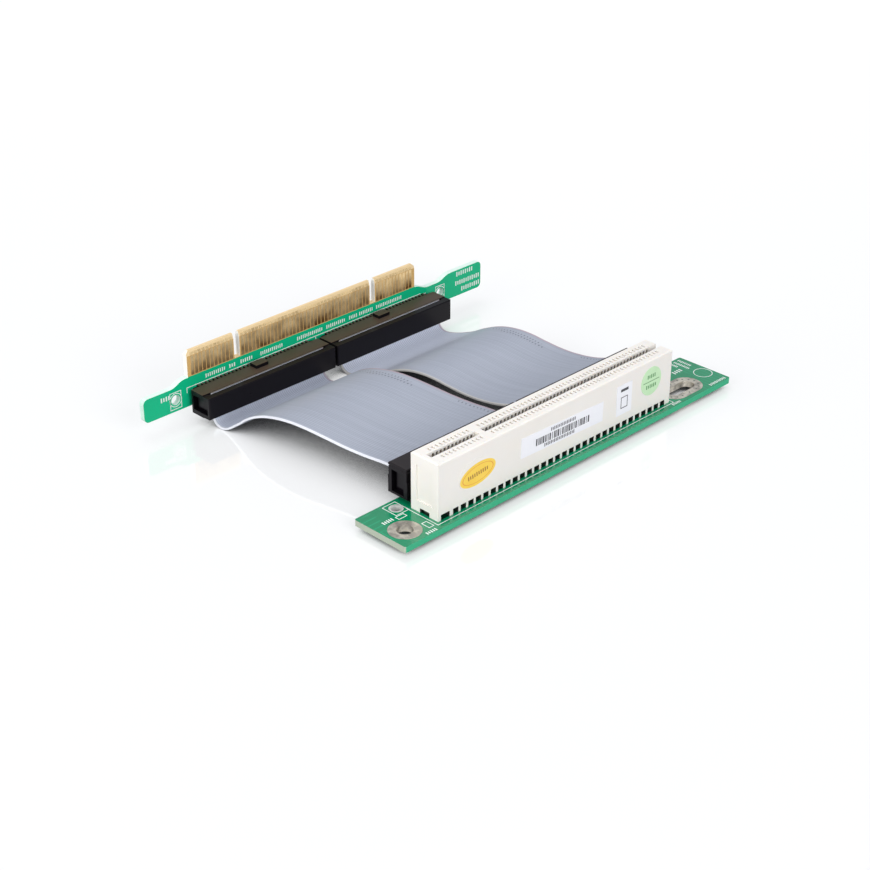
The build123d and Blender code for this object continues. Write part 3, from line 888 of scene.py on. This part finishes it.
# %% Solder joints
def solder_joint(foot, neck, cone_high, tail_high):
    """A solder cone and the tip of the tail in it, standing on zero, in millimetres."""
    level = cone_high * 0.4
    width = (foot + neck) / 2.2
    bpy.ops.mesh.primitive_cone_add(vertices=8, radius1=foot * MM, radius2=width * MM,
                                    depth=level * MM, location=(0, 0, level / 2 * MM))
    piece = bpy.context.object
    bpy.ops.object.transform_apply(location=True)
    pick_faces(piece, looks_up)
    for next_level, next_width in ((cone_high, neck), (tail_high - 0.1, neck * 0.92),
                                   (tail_high, neck * 0.6)):
        rise = (0, 0, (next_level - level) * MM)
        bpy.ops.mesh.extrude_region_move(TRANSFORM_OT_translate={"value": rise})
        narrow = next_width / width
        bpy.ops.transform.resize(value=(narrow, narrow, 1),
                                 center_override=(0, 0, next_level * MM))
        level, width = next_level, next_width
    bpy.ops.object.mode_set(mode="OBJECT")
    return piece


NEAR_TAIL, FAR_TAIL = 1.27, 3.3
PIN_LINE = 2.6
PIN_ROWS = (-PITCH / 2, PITCH / 2)
places = []
for count, x in enumerate(contact_x):
    reach = NEAR_TAIL if count % 2 else FAR_TAIL
    places += [put(x, SLOT_MIDDLE + side * reach, -BOARD_THICK, UNDER) for side in (-1, 1)]
settle(spread(solder_joint(0.68, 0.27, 0.6, 1.35), "slot_solder", places), tin)
places = [put(middle + shift, SLOT_CONNECTOR_Y + PIN_LINE + row, -BOARD_THICK, UNDER)
          for middle in SLOT_MIDDLES for shift in pin_shifts for row in PIN_ROWS]
settle(spread(solder_joint(0.5, 0.26, 0.5, 1.3), "slot_header_solder", places), tin)
rear_face_y = PLUG_BOARD_Y + BOARD_THICK
places = [put(middle + shift, rear_face_y, PLUG_SOCKET_Z - PIN_LINE + row, BACKWARDS)
          for middle in PLUG_MIDDLES for shift in pin_shifts for row in PIN_ROWS]
settle(spread(solder_joint(0.52, 0.34, 0.45, 0.6), "plug_header_solder", places), tin)

# %% [markdown]
# The boards carry white print: lines round the parts and short words. We draw the lines as thin
# bars of ink and each word as a row of small plain bars. A bar is one bevelled block a millimetre
# long, stretched to its size as it is copied.

# %% Helpers for print
INK_HIGH = 0.02
LINE_WIDE = 0.2
LETTER_HEIGHTS = (1.0, 0.8, 1.0, 0.9)
LETTER_WIDE = 0.62
white_ink = Finish("white print", roughness=0.55)
white_ink.link(white_ink.mix(white_ink.noise(0.8), (0.76, 0.82, 0.78), (0.90, 0.93, 0.91)),
               "Base Color")
white_ink.bump(white_ink.noise(0.2, 3), 0.005, 0.4)


def line_places(points, place, wide=LINE_WIDE):
    """Places of bars that follow a line through (u, v) points."""
    found = []
    for (u0, v0), (u1, v1) in zip(points, points[1:]):
        long = math.hypot(u1 - u0, v1 - v0) + wide
        turn = math.degrees(math.atan2(v1 - v0, u1 - u0))
        found.append(place((u0 + u1) / 2, (v0 + v1) / 2, turn, (long, wide, INK_HIGH)))
    return found


def word_places(u, v, long, high, place, turn=0.0):
    """Places of a row of small bars that stands for a word of this length and height."""
    count = max(2, round(long / (high * LETTER_WIDE)))
    du, dv = math.cos(math.radians(turn)), math.sin(math.radians(turn))
    found = []
    for i in range(count):
        along = (i + 0.5) * long / count
        size = (long / count * 0.5, high * LETTER_HEIGHTS[i % 4], INK_HIGH)
        found.append(place(u + along * du, v + along * dv, turn, size))
    return found


def box_line(u0, v0, u1, v1):
    return [(u0, v0), (u1, v0), (u1, v1), (u0, v1), (u0, v0)]


def on_slot_board(u, v, turn, size):
    return put(u, v, 0, FLAT, turn, size)


def on_plug_board(u, v, turn, size):
    return put(u + PLUG_LEFT, PLUG_BOARD_Y, v + PLUG_FOOT, UPRIGHT, turn, size)


def printed(name, places, finish):
    """One piece of print: bars of ink at these places."""
    settle(spread(soft_block((1, 1, 1), 0.06), name, places), finish)


# %% [markdown]
# On the slot board a line frames the slot, boxes frame the latch holes and two small parts that
# were never fitted, and words stand at both ends. On the plug board a line runs along the
# connectors, with nine words above it. Words are given by their start, their length and their
# height, and some are turned. Rings are turned like the plated holes, but only as high as ink.

# %% White print on the boards
slot_lines = ([(-0.9, 9.6), (-0.9, -0.9), (85.7, -0.9), (85.7, 9.6)],
              [(-0.8, 8.9), (-0.8, 13.7), (-4.9, 13.7), (-4.9, 8.9), (-0.8, 8.9)],
              [(88.2, 8.9), (88.2, 13.7), (92.0, 13.7), (92.0, 8.9), (88.2, 8.9)],
              box_line(-5.6, 7.2, -3.1, 8.5), box_line(-3.2, -0.3, -1.7, 2.2))
slot_words = ((-9.8, 8.4, 3.4, 1.2, 0), (-5.6, -1.75, 3.4, 1.0, 0), (84.3, -1.6, 3.4, 0.9, 0),
              (100.2, -1.5, 6.6, 0.95, 0), (98.6, 9.6, 3.6, 1.4, 0), (105.9, 13.8, 4.6, 0.9, -90),
              (104.2, 13.8, 5.4, 0.9, -90), (102.7, 13.8, 2.6, 0.9, -90))
places = []
for line in slot_lines:
    places += line_places(line, on_slot_board)
for u, v, long, high, turn in slot_words:
    places += word_places(u, v, long, high, on_slot_board, turn)
printed("slot_board_print", places, white_ink)

plug_lines = ([(-2.25, -4.1), (-2.25, -2.74), (81.4, -2.74)], [(41.7, -2.74), (41.7, -4.1)],
              [(82.5, -3.2), (83.6, -3.2)], box_line(-7.71, -7.35, -4.21, -2.65),
              box_line(87.61, -7.35, 91.11, -2.65))
plug_row = ((3.8, 10.5), (11.6, 13.9), (15.4, 19.7), (22.2, 30.1), (35.0, 44.3), (45.5, 52.6),
            (53.9, 57.1), (57.7, 63.0), (64.1, 74.1))
plug_words = ((-10.8, -3.5, 3.1, 1.3), (95.9, -1.3, 7.0, 1.4), (95.5, -4.1, 10.2, 1.4),
              (98.0, -6.4, 7.8, 1.4))
places = []
for line in plug_lines:
    places += line_places(line, on_plug_board)
for start, stop in plug_row:
    places += word_places(start, -1.4, stop - start, 1.1, on_plug_board)
for u, v, long, high in plug_words:
    places += word_places(u, v, long, high, on_plug_board)
printed("plug_board_print", places, white_ink)

rings = []
for radius, place in ((2.6, put(104.8, 4.3, 0)), (1.95, put(-10.96, PLUG_BOARD_Y, 4.7, UPRIGHT)),
                      (1.95, put(84.36, PLUG_BOARD_Y, 4.7, UPRIGHT))):
    inner = radius - LINE_WIDE
    ring = turned_ring([(radius, INK_HIGH), (inner, INK_HIGH), (inner, 0.0), (radius, 0.0)],
                       corners=40)
    ring.matrix_world = place
    rings.append(ring)
settle(join_up(rings, "board_print_rings"), white_ink)

# %% [markdown]
# Four labels are stuck on the front of the slot. Three are coated paper in their true outline.
# The oval one is a clear film whose yellow field is slimmer and stuck on slightly turned, so its
# field is found by measuring how far a point lies from the middle of a turned ellipse.

# %% Labels
WHITE_PAPER = ((0.86, 0.86, 0.91), (0.91, 0.91, 0.95))
GREEN_PAPER = ((0.50, 0.76, 0.45), (0.62, 0.84, 0.56))
for name, shades in (("strip_label", WHITE_PAPER), ("small_label", WHITE_PAPER),
                     ("round_label", GREEN_PAPER)):
    label = Finish(name + " paper", roughness=0.45)
    label.link(label.mix(label.noise(2.0), *shades), "Base Color")
    label.bump(label.noise(0.3, 3), 0.01, 0.3)
    dress(label, name)

OVAL_U, OVAL_V = 13.05, 7.8
OVAL_TURN = 6.0
OVAL_HALF_LONG, OVAL_HALF_HIGH = 6.05, 2.95
film = Finish("oval label film", roughness=0.4)
field = {"Vector": film.place, "Location": spot(OVAL_U, 0, OVAL_V),
         "Rotation": (0, math.radians(-OVAL_TURN), 0),
         "Scale": (OVAL_HALF_LONG * MM, 1.0, OVAL_HALF_HIGH * MM)}
away = film.add("ShaderNodeMapping", field, vector_type="TEXTURE").outputs["Vector"]
away = film.add("ShaderNodeVectorMath", {0: away}, operation="LENGTH").outputs["Value"]
yellow = film.mix(film.noise(2.0), (0.90, 0.56, 0.04), (0.96, 0.70, 0.11))
film.link(film.mix(film.ramp(away, 1.0, 0.985), (0.85, 0.82, 0.775), yellow), "Base Color")
film.bump(film.noise(0.3, 3), 0.01, 0.3)
dress(film, "oval_label")
print("labels dressed")

# %% [markdown]
# The labels carry simple generic shapes in ink: a field of bars with a row of marks above and
# below, a short thick bar with a box, a line between two rows, and an oval rule round one row.


# %% Ink on the labels
def ink(name, dark, pale):
    """Printer's ink with a little unevenness."""
    f = Finish(name, roughness=0.5)
    f.link(f.mix(f.noise(0.7), dark, pale), "Base Color")
    f.bump(f.noise(0.25, 3), 0.004, 0.4)
    return f


LABEL_FACE_Y = -0.1
STRIP_U, STRIP_V = 42.9, 7.9
STRIP_TURN = -1.7
BAR_FIELD = (-9.8, 9.6)
BAR_HIGH = 1.9
BAR_WIDTHS = (0.5, 0.2, 0.2, 0.35, 0.2, 0.5, 0.35, 0.2, 0.2, 0.5, 0.2, 0.35, 0.35, 0.2, 0.5, 0.2)


def on_front(u, v, turn, size):
    return put(u, LABEL_FACE_Y, v, UPRIGHT, turn, size)


def on_strip(u, v, turn, size):
    """Like on_front, but from the middle of the strip, which is stuck on a little askew."""
    lean = math.radians(STRIP_TURN)
    return on_front(STRIP_U + u * math.cos(lean) - v * math.sin(lean),
                    STRIP_V + u * math.sin(lean) + v * math.cos(lean), turn + STRIP_TURN, size)


places = []
u, count = BAR_FIELD[0], 0
while u < BAR_FIELD[1]:
    wide = BAR_WIDTHS[count % 16]
    places.append(on_strip(u + wide / 2, -0.1, 0, (wide, BAR_HIGH, INK_HIGH)))
    u += wide + BAR_WIDTHS[(count * 5 + 3) % 16] * 0.9
    count += 1
places += word_places(-4.6, 1.75, 9.2, 0.95, on_strip)
places += word_places(-6.8, -1.75, 11.2, 0.95, on_strip)
places.append(on_front(66.1, 10.6, 0, (2.9, 0.75, INK_HIGH)))
places += line_places(box_line(64.9, 5.6, 67.3, 8.6), on_front, wide=0.22)
printed("label_marks_black", places, ink("black ink", (0.03, 0.03, 0.04), (0.07, 0.07, 0.08)))

places = line_places([(73.6, 9.2), (79.8, 9.2)], on_front, wide=0.18)
places += word_places(75.0, 10.6, 3.4, 1.1, on_front)
places += word_places(74.6, 7.8, 4.2, 1.1, on_front)
printed("label_marks_green", places, ink("green ink", (0.05, 0.22, 0.06), (0.09, 0.30, 0.10)))

places = word_places(OVAL_U - 3.5, OVAL_V - 0.37, 7.0, 1.1, on_front, OVAL_TURN)
printed("label_marks_brown", places, ink("brown ink", (0.30, 0.13, 0.02), (0.42, 0.20, 0.04)))

rule = turned_ring([(5.2, INK_HIGH), (5.0, INK_HIGH), (5.0, 0.0), (5.2, 0.0)], corners=64)
rule.name = "oval_rule"
rule.matrix_world = put(OVAL_U, LABEL_FACE_Y, OVAL_V, UPRIGHT, OVAL_TURN, (1.0, 0.42, 1))
bpy.context.view_layer.update()
settle(rule, ink("orange ink", (0.72, 0.22, 0.03), (0.80, 0.30, 0.05)))

# %% [markdown]
# The model is complete.

# %% Finish
print("model complete")
